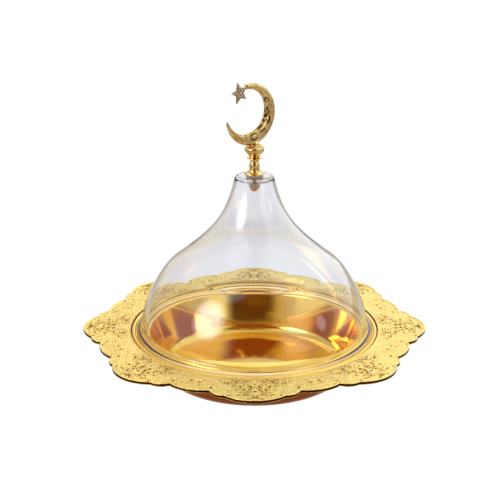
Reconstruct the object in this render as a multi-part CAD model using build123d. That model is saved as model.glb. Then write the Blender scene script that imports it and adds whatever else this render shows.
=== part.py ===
from build123d import *
import math
import os

# Covered cake plate, millimetres. The origin is the middle of the base on the table, +Z is up,
# and the crescent stands in the XZ plane.

# Scalloped rim
lobe_count = 8
lobe_turn = 4.0                # turn of the lobes from the crescent's plane, degrees
rim_width = 48.9               # from the seat's edge to the tip of a lobe
small_notch_depth = 8.7        # these depths are inwards from the lobes' tips
small_notch_angle = 9.5        # to either side of a lobe's middle
shoulder_depth = 9.5
large_notch_depth = 16.2
large_notch_angle = 15.3
crest_depth = 12.5             # top of the low arc between two lobes
rim_plate = 2.8
border_width = 2.2
border_height = 0.7
inner_lip_width = 2.0
rim_ledge = 2.0                # metal under the bowl's flange
rim_step = 0.6                 # rim's face above the polished seat

# Bowl, pressed from sheet
bowl_sheet = 1.0
bowl_depth = 44.0
bowl_mouth_radius = 105.0
bowl_floor_radius = 93.0       # where the wall would meet the floor
floor_corner_radius = 6.0
floor_rise = 3.6               # the floor is pressed up in its middle, so the bowl stands steady
floor_foot_width = 9.0         # flat ring that it stands on, inside the floor's radius
floor_crown_bend = 800.0       # radius of the pressed floor's shallow dome
floor_bend_radius = 60.0
mouth_bend_radius = 2.5
seat_width = 17.6              # polished flange that the dome stands on
bead_width = 3.8
bead_height = 1.1

# Dome, clear acrylic
dome_wall = 2.5
dome_top_thickness = 5.0
dome_height = 157.5
lip_clearance = 0.8            # between the lip and the bead round the seat
lip_height = 2.4
lip_flare = 5.8                # the lip stands out this far from the bell's foot
dome_foot_height = 9.0
dome_foot_lean = 2.2           # degrees from upright
waist_inset = 29.4             # inwards from the foot to where the bell turns hollow
waist_height = 69.0
waist_lean = 51.9
neck_radius = 19.5
neck_lean = 13.0
neck_corner_radius = 3.5
foot_pull = 19.1               # lengths of the curve's handles
waist_pull_below = 13.5
waist_pull_above = 47.7
neck_pull = 43.4

# Clamping of the finial: one threaded rod through everything, drawn in by a domed cap nut
rod_radius = 2.45
thread_radius = 2.5
dome_hole_clearance = 0.3
stem_bore_clearance = 0.1
washer_bore_clearance = 0.2
soft_washer_radius = 8.0
upper_washer_thickness = 1.5
lower_washer_thickness = 1.0
steel_washer_radius = 7.0
steel_washer_thickness = 0.8
nut_across_flats = 10.0
nut_height = 4.5
nut_dome_radius = 4.6
thread_depth = 7.0
rod_end_gap = 0.6
rod_in_crescent = 5.0
rod_tip_gap = 0.5

# Finial stem
collar_radius = 10.0
collar_edge = 1.2
collar_height = 5.6
collar_top_radius = 4.8
collar_slope_rise = 0.6        # the slope starts this flat
baluster_height = 8.8
baluster_bulge_radius = 5.1
baluster_bulge_height = 2.4
baluster_neck_radius = 4.1
baluster_foot_inset = 0.4
disc_radius = 7.1
disc_height = 1.8
disc_edge = 0.9
disc_hub_radius = 4.6
knob_height = 13.4
knob_foot_radius = 5.0
knob_radius = 9.5
knob_widest_height = 8.6
knob_top_radius = 5.6
knob_crown_pull = 3.0

# Crescent and star
crescent_radius = 29.1
crescent_shift = -5.5          # middle of the crescent from the stem's axis
crescent_thickness = 6.5
crescent_foot_radius = 4.4
crescent_foot_height = 1.4     # foot below the lowest point over the stem
upper_tip_angle = 106.0
upper_tip_width = 4.0
upper_arm_angle = 55.0
upper_arm_width = 6.9
belly_angle = -30.0
belly_width = 11.2
lower_belly_angle = -95.0
lower_belly_width = 10.2
lower_arm_angle = -138.0
lower_arm_width = 5.2
lower_tip_angle = -169.0
lower_tip_width = 0.8
star_radius = 10.3
star_inner_radius = 4.9
star_thickness = 3.2
star_out = 26.4                # star's middle from the middle of the crescent
star_angle = 125.5
star_turn = 104.0              # direction of the star's upper point
stone_rows = ((0.32, 1.15), (0.55, 0.95), (0.75, 0.65))  # share of the star's radius, stone's radius
middle_stone_radius = 1.35
stone_proud = 0.5
stone_sunk = 0.7

seat_z = bowl_depth + bowl_sheet
floor_rise_radius = bowl_floor_radius - floor_foot_width
seat_outer_radius = bowl_mouth_radius + seat_width
lobe_tip_radius = seat_outer_radius + rim_width
lip_radius = seat_outer_radius - bead_width - lip_clearance
dome_foot_radius = lip_radius - lip_flare
waist_radius = dome_foot_radius - waist_inset
neck_height = dome_height - neck_corner_radius
dome_top_z = seat_z + dome_height
stem_z = dome_top_z + upper_washer_thickness
baluster_z = stem_z + collar_height
disc_z = baluster_z + baluster_height
knob_z = disc_z + disc_height
crescent_foot_z = knob_z + knob_height
crescent_drop = math.sqrt(crescent_radius ** 2 - crescent_shift ** 2)
crescent_z = crescent_foot_z + crescent_foot_height + crescent_drop
ceiling_z = dome_top_z - dome_top_thickness
steel_washer_z = ceiling_z - lower_washer_thickness
nut_z = steel_washer_z - steel_washer_thickness


def polar(radius, degrees):
    angle = math.radians(degrees)
    return (radius * math.cos(angle), radius * math.sin(angle))


def leaning(start, degrees, length):
    """Point at a length along a line that leans inwards from upright."""
    angle = math.radians(degrees)
    return (start[0] - length * math.sin(angle), start[1] + length * math.cos(angle))


def revolved(edges):
    """Solid of revolution from a closed chain of edges drawn as radius and height."""
    face = make_face([Plane.XZ * edge for edge in edges])
    return revolve(face, Axis.Z)


def ring_solid(inner_radius, outer_radius, bottom, height):
    ring = Circle(outer_radius) - Circle(inner_radius)
    return Pos(0, 0, bottom) * extrude(ring, height)


def scalloped_outline(inset):
    """Outline of eight lobes, each with two shoulders, and a low arc between lobes."""
    edges = []
    step = 360 / lobe_count
    for index in range(lobe_count):
        middle = lobe_turn + index * step

        def corner(depth, degrees):
            return polar(lobe_tip_radius - depth - inset, middle + degrees)

        half_shoulder = (small_notch_angle + large_notch_angle) / 2
        points = [
            corner(large_notch_depth, -large_notch_angle),
            corner(shoulder_depth, -half_shoulder),
            corner(small_notch_depth, -small_notch_angle),
            corner(0, 0),
            corner(small_notch_depth, small_notch_angle),
            corner(shoulder_depth, half_shoulder),
            corner(large_notch_depth, large_notch_angle),
            corner(crest_depth, step / 2),
            corner(large_notch_depth, step - large_notch_angle),
        ]
        for first in range(0, len(points) - 1, 2):
            edges.append(ThreePointArc(*points[first:first + 3]))
    return make_face(edges)


def make_rim_ring():
    """Cast rim with a raised border, and a sunk ledge that carries the bowl's flange."""
    face_z = seat_z + rim_step
    bottom_z = face_z - rim_plate
    body = Pos(0, 0, bottom_z) * extrude(scalloped_outline(0), rim_plate)
    border = scalloped_outline(0) - scalloped_outline(border_width)
    body += Pos(0, 0, face_z) * extrude(border, border_height)
    lip_outer = seat_outer_radius + inner_lip_width
    body += ring_solid(seat_outer_radius, lip_outer, face_z, border_height)
    ledge_top = seat_z - bowl_sheet
    ledge_bottom = ledge_top - rim_ledge
    bore = bowl_mouth_radius + bowl_sheet + mouth_bend_radius
    body += ring_solid(bore, lip_outer, ledge_bottom, rim_ledge)
    body -= Pos(0, 0, ledge_top) * extrude(Circle(seat_outer_radius), rim_plate + border_height)
    body -= Pos(0, 0, ledge_bottom) * extrude(Circle(bore), rim_ledge + rim_plate)
    return body


def parallel(points, distance):
    """Points of the line that runs at a distance to the right of a chain of points."""
    result = []
    for index, point in enumerate(points):
        normals = []
        for first in (index - 1, index):
            if 0 <= first < len(points) - 1:
                along = Vector(*points[first + 1]) - Vector(*points[first])
                normals.append(Vector(along.Y, -along.X).normalized())
        mitre = sum(normals[1:], normals[0]).normalized()
        reach = distance / mitre.dot(normals[0])
        moved = Vector(*point) + mitre * reach
        result.append((moved.X, moved.Y))
    return result


def make_bowl():
    """Pressed bowl: raised floor, steep wall, and a flat polished flange with a bead at its edge."""
    floor_z = bowl_sheet
    inner = [
        (0, floor_z + floor_rise),
        (floor_rise_radius / 2, floor_z + floor_rise),
        (floor_rise_radius, floor_z),
        (bowl_floor_radius, floor_z),
        (bowl_mouth_radius, seat_z),
        (seat_outer_radius, seat_z),
    ]
    outer = parallel(inner, bowl_sheet)
    slope = math.atan2(floor_rise, floor_rise_radius / 2)
    room = floor_rise_radius / 2 / math.tan(slope / 2) - floor_bend_radius - bowl_sheet
    crown_bend = min(floor_crown_bend, room)
    inner_bends = [crown_bend, floor_bend_radius, floor_corner_radius, mouth_bend_radius]
    outer_bends = [
        crown_bend - bowl_sheet,
        floor_bend_radius + bowl_sheet,
        floor_corner_radius + bowl_sheet,
        mouth_bend_radius - bowl_sheet,
    ]
    inner_line = FilletPolyline(*inner, radius=inner_bends)
    outer_line = FilletPolyline(*outer, radius=outer_bends)
    ends = [Line(inner[0], outer[0]), Line(inner[-1], outer[-1])]
    bowl = revolved([*inner_line.edges(), *outer_line.edges(), *ends])
    bead_start = (seat_outer_radius - bead_width, seat_z)
    bead_end = (seat_outer_radius, seat_z)
    bead_top = (seat_outer_radius - bead_width / 2, seat_z + bead_height)
    bead = revolved([ThreePointArc(bead_start, bead_top, bead_end), Line(bead_end, bead_start)])
    return bowl + bead


def bell_curve(inward):
    """Half section of the bell from its foot to its neck, moved inwards by a wall."""
    foot = leaning((dome_foot_radius, dome_foot_height), dome_foot_lean + 90, inward)
    waist = leaning((waist_radius, waist_height), waist_lean + 90, inward)
    neck = leaning((neck_radius, neck_height), neck_lean + 90, inward)
    lower = Bezier(
        foot,
        leaning(foot, dome_foot_lean, foot_pull),
        leaning(waist, waist_lean, -waist_pull_below),
        waist,
    )
    upper = Bezier(
        waist,
        leaning(waist, waist_lean, waist_pull_above),
        leaning(neck, neck_lean, -neck_pull),
        neck,
    )
    return foot, neck, [lower, upper]


def make_dome():
    """Clear bell with a flared lip, a flat thick top and a hole for the rod."""
    foot, neck, outside = bell_curve(0)
    inner_foot, inner_neck, inside = bell_curve(dome_wall)
    hole = thread_radius + dome_hole_clearance
    lip_top = (lip_radius, lip_height)
    flare_middle = ((lip_radius + foot[0]) / 2 - lip_height / 2, (lip_height + foot[1]) / 2)
    top_edge = (neck[0] - neck_corner_radius, dome_height)
    round_pull = 0.55 * neck_corner_radius
    corner_end = (top_edge[0] + round_pull, dome_height)
    ceiling = dome_height - dome_top_thickness
    chain = [
        Line((inner_foot[0], 0), (lip_radius, 0)),
        Line((lip_radius, 0), lip_top),
        ThreePointArc(lip_top, flare_middle, foot),
        *outside,
        Bezier(neck, leaning(neck, neck_lean, round_pull), corner_end, top_edge),
        Line(top_edge, (hole, dome_height)),
        Line((hole, dome_height), (hole, ceiling)),
        Line((hole, ceiling), (inner_neck[0], ceiling)),
        Line((inner_neck[0], ceiling), inner_neck),
        *inside,
        Line(inner_foot, (inner_foot[0], 0)),
    ]
    return Pos(0, 0, seat_z) * revolved(chain)


def make_upper_washer():
    bore = thread_radius + washer_bore_clearance
    return ring_solid(bore, soft_washer_radius, dome_top_z, upper_washer_thickness)


def make_lower_washer():
    bore = thread_radius + washer_bore_clearance
    return ring_solid(bore, soft_washer_radius, steel_washer_z, lower_washer_thickness)


def make_steel_washer():
    bore = thread_radius + washer_bore_clearance
    return ring_solid(bore, steel_washer_radius, nut_z, steel_washer_thickness)


def make_cap_nut():
    """Hexagon nut closed by a dome below."""
    hexagon = RegularPolygon(nut_across_flats / 2, 6, major_radius=False)
    nut = Pos(0, 0, nut_z - nut_height) * extrude(hexagon, nut_height)
    below = (Align.CENTER, Align.CENTER, Align.MAX)
    dome = Sphere(nut_dome_radius, arc_size1=-90, arc_size2=0, align=below)
    thread = Pos(0, 0, nut_z - thread_depth) * extrude(Circle(thread_radius), thread_depth)
    return nut + Pos(0, 0, nut_z - nut_height) * dome - thread


def make_tie_rod():
    bottom = nut_z - thread_depth + rod_end_gap
    top = crescent_foot_z + rod_in_crescent - rod_tip_gap
    rod = Pos(0, 0, bottom) * extrude(Circle(rod_radius), top - bottom)
    return chamfer(rod.edges().filter_by(GeomType.CIRCLE), thread_radius / 6)


def stem_piece(bottom, profile):
    """Turned stem piece with a bore for the rod, from the edges of its outside."""
    bore = rod_radius + stem_bore_clearance
    start = profile[0] @ 0
    end = profile[-1] @ 1
    low = (bore, start.Y)
    high = (bore, end.Y)
    chain = [Line(low, start), *profile, Line(end, high), Line(high, low)]
    return Pos(0, 0, bottom) * revolved(chain)


def make_finial_collar():
    """Wide foot with a hollow slope up to the baluster."""
    edge_top = (collar_radius, collar_edge)
    slope_top = (collar_top_radius, collar_height)
    slope = Bezier(edge_top, (collar_top_radius, collar_edge + collar_slope_rise), slope_top)
    return stem_piece(stem_z, [Line((collar_radius, 0), edge_top), slope])


def make_finial_baluster():
    """Small baluster, widest low down and narrowing to a neck under the disc."""
    bottom = (collar_top_radius - baluster_foot_inset, 0)
    bulge = (baluster_bulge_radius, baluster_bulge_height)
    neck = (baluster_neck_radius, baluster_height)
    pull = baluster_bulge_height / 2
    curve = [
        Bezier(bottom, (baluster_bulge_radius, pull / 2), bulge),
        Bezier(bulge, (bulge[0], bulge[1] + 2 * pull), (neck[0], neck[1] - 2 * pull), neck),
    ]
    return stem_piece(baluster_z, curve)


def make_finial_disc():
    """Thin disc with a hollow lower side."""
    rim_low = (disc_radius, disc_height - disc_edge)
    rim_high = (disc_radius, disc_height - disc_edge / 4)
    under = Bezier((baluster_neck_radius, 0), (disc_hub_radius, rim_low[1]), rim_low)
    rim = ThreePointArc(rim_low, (disc_radius + disc_edge / 4, (rim_low[1] + rim_high[1]) / 2), rim_high)
    over = [Line(rim_high, (disc_hub_radius, disc_height - disc_edge / 4))]
    over.append(Line(over[0] @ 1, (disc_hub_radius, disc_height)))
    return stem_piece(disc_z, [under, rim, *over])


def make_finial_knob():
    """Flattened knob on a short flaring neck."""
    foot = (knob_foot_radius, 0)
    widest = (knob_radius, knob_widest_height)
    top = (knob_top_radius, knob_height)
    flare = Bezier(
        foot,
        (knob_foot_radius, knob_widest_height / 2),
        (knob_radius, knob_widest_height / 2),
        widest,
    )
    crown = Bezier(
        widest,
        (knob_radius, knob_widest_height + knob_crown_pull),
        (knob_top_radius, knob_widest_height + knob_crown_pull),
        top,
    )
    return stem_piece(knob_z, [flare, crown])


def upright(shape, thickness):
    """Flat shape stood up in the plane of the crescent and given its thickness."""
    stood = Plane.XZ * shape
    return extrude(stood, thickness / 2, both=True)


def crescent_shape():
    """Crescent drawn about its own middle, from the widths at angles around it."""
    def inner(degrees, width):
        return polar(crescent_radius - width, degrees)

    upper_tip = polar(crescent_radius, upper_tip_angle)
    lower_tip = polar(crescent_radius, lower_tip_angle)
    middle = polar(crescent_radius, (upper_tip_angle + lower_tip_angle) / 2)
    inner_line = Spline(
        inner(upper_tip_angle, upper_tip_width),
        inner(upper_arm_angle, upper_arm_width),
        inner(belly_angle, belly_width),
        inner(lower_belly_angle, lower_belly_width),
        inner(lower_arm_angle, lower_arm_width),
        inner(lower_tip_angle, lower_tip_width),
    )
    edges = [
        ThreePointArc(lower_tip, middle, upper_tip),
        Line(upper_tip, inner_line @ 0),
        inner_line,
        Line(inner_line @ 1, lower_tip),
    ]
    return make_face(edges)


def make_crescent():
    """Crescent on a round foot, with a blind bore for the rod."""
    body = Pos(crescent_shift, 0, crescent_z) * upright(crescent_shape(), crescent_thickness)
    foot_height = crescent_foot_height + belly_width / 4
    body += Pos(0, 0, crescent_foot_z) * extrude(Circle(crescent_foot_radius), foot_height)
    bore = Circle(rod_radius + stem_bore_clearance)
    return body - Pos(0, 0, crescent_foot_z) * extrude(bore, rod_in_crescent)


def star_middle():
    across, up = polar(star_out, star_angle)
    return (crescent_shift + across, crescent_z + up)


def make_star(crescent):
    """Five-pointed star that butts against the upper tip of the crescent."""
    corners = []
    for index in range(5):
        corners.append(polar(star_radius, star_turn + 72 * index))
        corners.append(polar(star_inner_radius, star_turn + 72 * index + 36))
    across, up = star_middle()
    star = Pos(across, 0, up) * upright(make_face(Polyline(*corners, close=True)), star_thickness)
    return star - crescent - make_star_stones()


def make_star_stones():
    """Round stones set in the front of the star, one in the middle and three rows out to the points."""
    across, up = star_middle()
    front = -star_thickness / 2
    places = [(0, 0, middle_stone_radius)]
    for index in range(5):
        for out, radius in stone_rows:
            x, z = polar(out * star_radius, star_turn + 72 * index)
            places.append((x, z, radius))
    stones = []
    for x, z, radius in places:
        seat = Location((across + x, front + stone_sunk, up + z), (90, 0, 0))
        girdle = extrude(Circle(radius), stone_sunk)
        crown = Pos(0, 0, stone_sunk) * extrude(Circle(radius), stone_proud, taper=25)
        stones.append(seat * (girdle + crown))
    return Compound(children=[stone.solid() for stone in stones])


def main():
    os.makedirs("parts", exist_ok=True)
    crescent = make_crescent()
    pieces = {
        "rim_ring": make_rim_ring(),
        "bowl": make_bowl(),
        "dome": make_dome(),
        "upper_washer": make_upper_washer(),
        "lower_washer": make_lower_washer(),
        "steel_washer": make_steel_washer(),
        "cap_nut": make_cap_nut(),
        "tie_rod": make_tie_rod(),
        "finial_collar": make_finial_collar(),
        "finial_baluster": make_finial_baluster(),
        "finial_disc": make_finial_disc(),
        "finial_knob": make_finial_knob(),
        "crescent": crescent,
        "star": make_star(crescent),
        "star_stones": make_star_stones(),
    }
    for name, piece in pieces.items():
        export_step(piece, f"parts/{name}.step")


main()
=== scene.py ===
import math
import bpy
import numpy as np
from mathutils import Matrix, Vector


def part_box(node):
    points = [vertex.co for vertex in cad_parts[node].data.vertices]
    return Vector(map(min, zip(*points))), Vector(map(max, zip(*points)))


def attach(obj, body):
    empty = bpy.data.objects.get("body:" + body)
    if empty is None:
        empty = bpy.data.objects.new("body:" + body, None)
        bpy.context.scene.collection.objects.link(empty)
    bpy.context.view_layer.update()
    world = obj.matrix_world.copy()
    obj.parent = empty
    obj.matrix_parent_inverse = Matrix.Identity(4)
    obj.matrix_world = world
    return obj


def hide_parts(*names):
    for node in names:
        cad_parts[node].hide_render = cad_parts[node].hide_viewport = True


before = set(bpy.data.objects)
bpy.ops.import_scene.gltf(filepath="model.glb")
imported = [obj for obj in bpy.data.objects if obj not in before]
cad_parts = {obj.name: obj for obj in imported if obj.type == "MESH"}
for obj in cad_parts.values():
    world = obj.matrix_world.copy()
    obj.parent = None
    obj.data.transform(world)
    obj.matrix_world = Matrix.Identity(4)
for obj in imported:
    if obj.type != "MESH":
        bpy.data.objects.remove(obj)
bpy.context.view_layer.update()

mm = 0.001  # the sizes below are in millimetres


def say(stage):
    print("stage:", stage)


def boxOf(node):
    low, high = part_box(node)
    return low / mm, high / mm


# Heights and widths that the frame fixes
seatZ = boxOf("dome")[0].z
domeTopZ = boxOf("dome")[1].z
lipRadius = boxOf("dome")[1].x
seatEdge = boxOf("bowl")[1].x

# Colour and nodes


def linear(hexColor):
    channels = [int(hexColor[i:i + 2], 16) / 255 for i in (1, 3, 5)]
    return tuple(c / 12.92 if c <= 0.04045 else ((c + 0.055) / 1.055) ** 2.4 for c in channels) + (1.0,)


# Adds a node with its settings, the values and links of its inputs, its colour stops, and links
# from its outputs into sockets that are there already
def addNode(tree, kind, settings=None, inputs=None, links=None, stops=None, into=None):
    node = tree.nodes.new(kind)
    for key, value in (settings or {}).items():
        setattr(node, key, value)
    for key, value in (inputs or {}).items():
        node.inputs[key].default_value = value
    for key, source in (links or {}).items():
        tree.links.new(source, node.inputs[key])
    for index, (place, hexColor) in enumerate(stops or []):
        marks = node.color_ramp.elements
        mark = marks[index] if index < len(marks) else marks.new(place)
        mark.position = place
        mark.color = linear(hexColor)
    for key, socket in (into or {}).items():
        tree.links.new(node.outputs[key], socket)
    return node


# A new material, its tree, its shader's sockets and the Object coordinates that patterns read
def newMaterial(name, values):
    mat = bpy.data.materials.new(name)
    mat.use_nodes = True
    tree = mat.node_tree
    sockets = tree.nodes["Principled BSDF"].inputs
    for key, value in values.items():
        sockets[key].default_value = value
    return mat, tree, sockets, addNode(tree, "ShaderNodeTexCoord").outputs["Object"]


bowlLook = {"deep": "#F5C350", "pale": "#FBD168", "shaded": "#9A4A12", "roughness": 0.07,
            "tintSpot": 60.0, "grain": 14.0, "grainStrength": 0.15, "grainDepth": 0.25}
finialLook = {"deep": "#C4A05A", "pale": "#EFD69C", "shaded": "#1E1206", "roughness": 0.1,
              "tintSpot": 6.0, "grain": 6.0, "grainStrength": 0.3, "grainDepth": 0.5}
starLook = {"deep": "#9A8460", "pale": "#C8B08A", "shaded": "#4A2C0C", "roughness": 0.22,
            "tintSpot": 2.5, "grain": 1.0, "grainStrength": 0.6, "grainDepth": 0.12}
nutLook = {"deep": "#E6C2A4", "pale": "#F4DAC4", "shaded": "#241406", "roughness": 0.35,
           "tintSpot": 4.0, "grain": 1.0, "grainStrength": 0.1, "grainDepth": 0.05}


# Gold plate on metal is a tinted mirror: slow tints and a slight grain stand for uneven polish,
# and it turns brown to black as painted shade where its point attribute marks shade
def platedGold(name, look):
    mat, tree, sockets, place = newMaterial(name, {"Metallic": 1.0, "Roughness": look["roughness"]})
    tint = addNode(tree, "ShaderNodeTexNoise", links={"Vector": place},
                   inputs={"Scale": 1 / (look["tintSpot"] * mm), "Detail": 2.0})
    ramp = addNode(tree, "ShaderNodeValToRGB", links={"Fac": tint.outputs["Fac"]},
                   stops=[(0.3, look["deep"]), (0.7, look["pale"])])
    paintedShade = addNode(tree, "ShaderNodeAttribute", {"attribute_name": "paintedShade"})
    addNode(tree, "ShaderNodeMix", {"data_type": "RGBA"}, {"B": linear(look["shaded"])},
            {"Factor": paintedShade.outputs["Fac"], "A": ramp.outputs["Color"]},
            into={"Result": sockets["Base Color"]})
    grain = addNode(tree, "ShaderNodeTexNoise", links={"Vector": place},
                    inputs={"Scale": 1 / (look["grain"] * mm), "Detail": 3.0})
    addNode(tree, "ShaderNodeBump",
            inputs={"Strength": look["grainStrength"], "Distance": look["grainDepth"] * mm},
            links={"Height": grain.outputs["Fac"]}, into={"Normal": sockets["Normal"]})
    return mat


rimLook = {"colors": [(0.0, "#FFE890"), (0.3, "#F8D676"), (0.6, "#A87828"), (1.0, "#241204")],
           "roughness": 0.25, "grain": 1.3, "spotFrom": 0.25, "spotTo": 0.8, "spotTint": 0.22,
           "grainStrength": 0.8, "grainDepth": 0.35}


# Cast and plated: bright on the ridges, brown to black with painted shade in the hollows, down the outer edge
# and underneath, which in the hollows also stands for thinner plating; with the small dents of hammered
# ground
def embossedGold(look):
    mat, tree, sockets, place = newMaterial("embossedGoldPlate",
                                            {"Metallic": 1.0, "Roughness": look["roughness"]})
    paintedShade = addNode(tree, "ShaderNodeAttribute", {"attribute_name": "paintedShade"})
    grain = addNode(tree, "ShaderNodeTexVoronoi", {"feature": "F1"}, {"Scale": 1 / (look["grain"] * mm)},
                    {"Vector": place})
    spots = addNode(tree, "ShaderNodeMapRange", links={"Value": grain.outputs["Distance"]},
                    inputs={"From Min": look["spotFrom"], "From Max": look["spotTo"],
                            "To Max": look["spotTint"]})
    dark = addNode(tree, "ShaderNodeMath", {"operation": "ADD", "use_clamp": True},
                   links={0: paintedShade.outputs["Fac"], 1: spots.outputs["Result"]})
    addNode(tree, "ShaderNodeValToRGB", links={"Fac": dark.outputs[0]}, stops=look["colors"],
            into={"Color": sockets["Base Color"]})
    addNode(tree, "ShaderNodeBump",
            inputs={"Strength": look["grainStrength"], "Distance": look["grainDepth"] * mm},
            links={"Height": grain.outputs["Distance"]}, into={"Normal": sockets["Normal"]})
    return mat


acrylicLook = {"color": "#EFF2F7", "roughness": 0.0, "ior": 1.49, "clearness": 1.0,
               "wave": 45.0, "detail": 0.0, "waveStrength": 0.2, "waveDepth": 0.4}
siliconeLook = {"color": "#F6DFD0", "roughness": 0.35, "ior": 1.41, "clearness": 0.2,
                "wave": 0.8, "detail": 2.0, "waveStrength": 0.2, "waveDepth": 0.05}


# Moulded acrylic is clear and faintly cool, with waves too weak to feel; silicone is a milky skin
def moulded(name, look):
    mat, tree, sockets, place = newMaterial(name, {
        "Base Color": linear(look["color"]), "Roughness": look["roughness"], "IOR": look["ior"],
        "Transmission Weight": look["clearness"]})
    wave = addNode(tree, "ShaderNodeTexNoise", links={"Vector": place},
                   inputs={"Scale": 1 / (look["wave"] * mm), "Detail": look["detail"]})
    addNode(tree, "ShaderNodeBump", links={"Height": wave.outputs["Fac"]}, into={"Normal": sockets["Normal"]},
            inputs={"Strength": look["waveStrength"], "Distance": look["waveDepth"] * mm})
    return mat


steelLook = {"dark": "#B9B9B6", "pale": "#CFCFCD", "roughness": 0.3, "lineSpacing": 0.6}


# Turned steel: a grey shine with tool marks in rings about the axis, coarser than real ones
def turnedSteel(look):
    mat, tree, sockets, place = newMaterial("turnedSteel", {"Metallic": 1.0, "Roughness": look["roughness"]})
    spacing = math.pi / 10  # of the lines of a wave texture at scale 1
    lines = addNode(tree, "ShaderNodeTexWave", {"wave_type": "RINGS", "rings_direction": "Z"},
                    {"Scale": spacing / (look["lineSpacing"] * mm)}, {"Vector": place})
    addNode(tree, "ShaderNodeValToRGB", links={"Fac": lines.outputs["Fac"]},
            stops=[(0.0, look["dark"]), (1.0, look["pale"])], into={"Color": sockets["Base Color"]})
    return mat


stoneLook = {"dark": "#8F8C8A", "pale": "#F4F2EF", "silvering": 0.9, "roughness": 0.08, "facet": 0.9}


# Cut glass with a silvered back: each facet is a small grey mirror
def cutStone(look):
    mat, tree, sockets, place = newMaterial("silveredStone", {"Metallic": look["silvering"],
                                                              "Roughness": look["roughness"]})
    cells = addNode(tree, "ShaderNodeTexVoronoi", {"feature": "F1"}, {"Scale": 1 / (look["facet"] * mm)},
                    {"Vector": place})
    addNode(tree, "ShaderNodeValToRGB", links={"Fac": cells.outputs["Color"]},
            stops=[(0.25, look["dark"]), (0.75, look["pale"])], into={"Color": sockets["Base Color"]})
    return mat


bowlGold = platedGold("polishedGoldPlate", bowlLook)
starGold = platedGold("darkCastGold", starLook)
finialGold = platedGold("castGoldPlate", finialLook)
nutGold = platedGold("roseGoldPlate", nutLook)
rimGold = embossedGold(rimLook)
acrylic = moulded("clearAcrylic", acrylicLook)
silicone = moulded("translucentSilicone", siliconeLook)
steel = turnedSteel(steelLook)
stoneMat = cutStone(stoneLook)
say("materials")

# Mesh helpers


def newObject(name, mesh):
    obj = bpy.data.objects.new(name, mesh)
    bpy.context.scene.collection.objects.link(obj)
    return obj


def meshObject(name, verts, faces, mat, sharpAngle):
    mesh = bpy.data.meshes.new(name)
    mesh.from_pydata([tuple(v) for v in verts], [], faces)
    mesh.materials.append(mat)
    mesh.shade_smooth()
    mesh.set_sharp_from_angle(angle=math.radians(sharpAngle))
    mesh.validate()
    return newObject(name, mesh)


# Keeps how much painted shade each point gets, 0 to 1, which darkens the gold's colour
def storePaintedShade(mesh, values):
    mesh.attributes.new("paintedShade", "FLOAT", "POINT").data.foreach_set("value", values)


def dressed(obj, body, node):
    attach(obj, body)
    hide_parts(node)
    return obj


def polar(radius, degrees):
    a = math.radians(degrees)
    return (radius * math.cos(a), radius * math.sin(a))


# Closed solid of revolution from a closed chain of (radius, height), with a painted shade for each point
def lathe(name, profile, mat, segments, sharpAngle=40, paintedShade=None):
    rings, verts, values = [], [], []
    for index, (radius, height) in enumerate(profile):
        onAxis = radius < 1e-6
        values += [paintedShade[index] if paintedShade else 0.0] * (1 if onAxis else segments)
        if onAxis:
            rings.append([len(verts)] * segments)
            verts.append((0, 0, height * mm))
            continue
        rings.append(list(range(len(verts), len(verts) + segments)))
        for step in range(segments):
            a = 2 * math.pi * step / segments
            verts.append((radius * math.cos(a) * mm, radius * math.sin(a) * mm, height * mm))
    faces = []
    for low, high in zip(rings, rings[1:] + rings[:1]):
        if low[0] == low[1] and high[0] == high[1]:
            continue
        for step in range(segments):
            after = (step + 1) % segments
            faces.append(list(dict.fromkeys([low[step], low[after], high[after], high[step]])))
    obj = meshObject(name, verts, faces, mat, sharpAngle)
    if paintedShade:
        storePaintedShade(obj.data, values)
    return obj


# Points along a curve with one or two handles between its ends
def bezier(points, count):
    p = [np.array(q, float) for q in points]
    t = np.linspace(0, 1, count)[:, None]
    if len(p) == 3:
        curve = (1 - t) ** 2 * p[0] + 2 * (1 - t) * t * p[1] + t ** 2 * p[2]
    else:
        curve = ((1 - t) ** 3 * p[0] + 3 * (1 - t) ** 2 * t * p[1] + 3 * (1 - t) * t ** 2 * p[2]
                 + t ** 3 * p[3])
    return [tuple(q) for q in curve]


# Chain of points with each inner corner turned into an arc of its radius
def rounded(points, radii, count):
    result = [tuple(points[0])]
    for before, corner, after, radius in zip(points, points[1:], points[2:], radii):
        corner = Vector(corner)
        a = (Vector(before) - corner).normalized()
        b = (Vector(after) - corner).normalized()
        half = a.angle(b) / 2
        middle = corner + (a + b).normalized() * radius / math.sin(half)
        first = corner + a * radius / math.tan(half) - middle
        last = corner + b * radius / math.tan(half) - middle
        for step in range(count + 1):
            result.append(tuple(middle + first.lerp(last, step / count).normalized() * radius))
    result.append(tuple(points[-1]))
    return result


# The same chain moved to its right
def parallel(points, distance):
    result = []
    for index, point in enumerate(points):
        normals = []
        for first in (index - 1, index):
            if 0 <= first < len(points) - 1:
                along = Vector(points[first + 1]) - Vector(points[first])
                normals.append(Vector((along.y, -along.x)).normalized())
        mitre = sum(normals[1:], normals[0]).normalized()
        moved = Vector(point) + mitre * (distance / mitre.dot(normals[0]))
        result.append((moved.x, moved.y))
    return result


# Bowl

bowl = {"sheet": 1.0, "mouth": 105.0, "floor": 93.0, "corner": 11.0, "mouthBend": 2.5,
        "rise": 3.6, "riseRadius": 78.0, "crownBend": 700.0, "riseBend": 60.0,  # floor, pressed up
        "beadWidth": 3.8, "beadHeight": 1.1, "beadStart": 0.3,  # bead on the flange, from this angle on
        "segments": 256}
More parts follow.
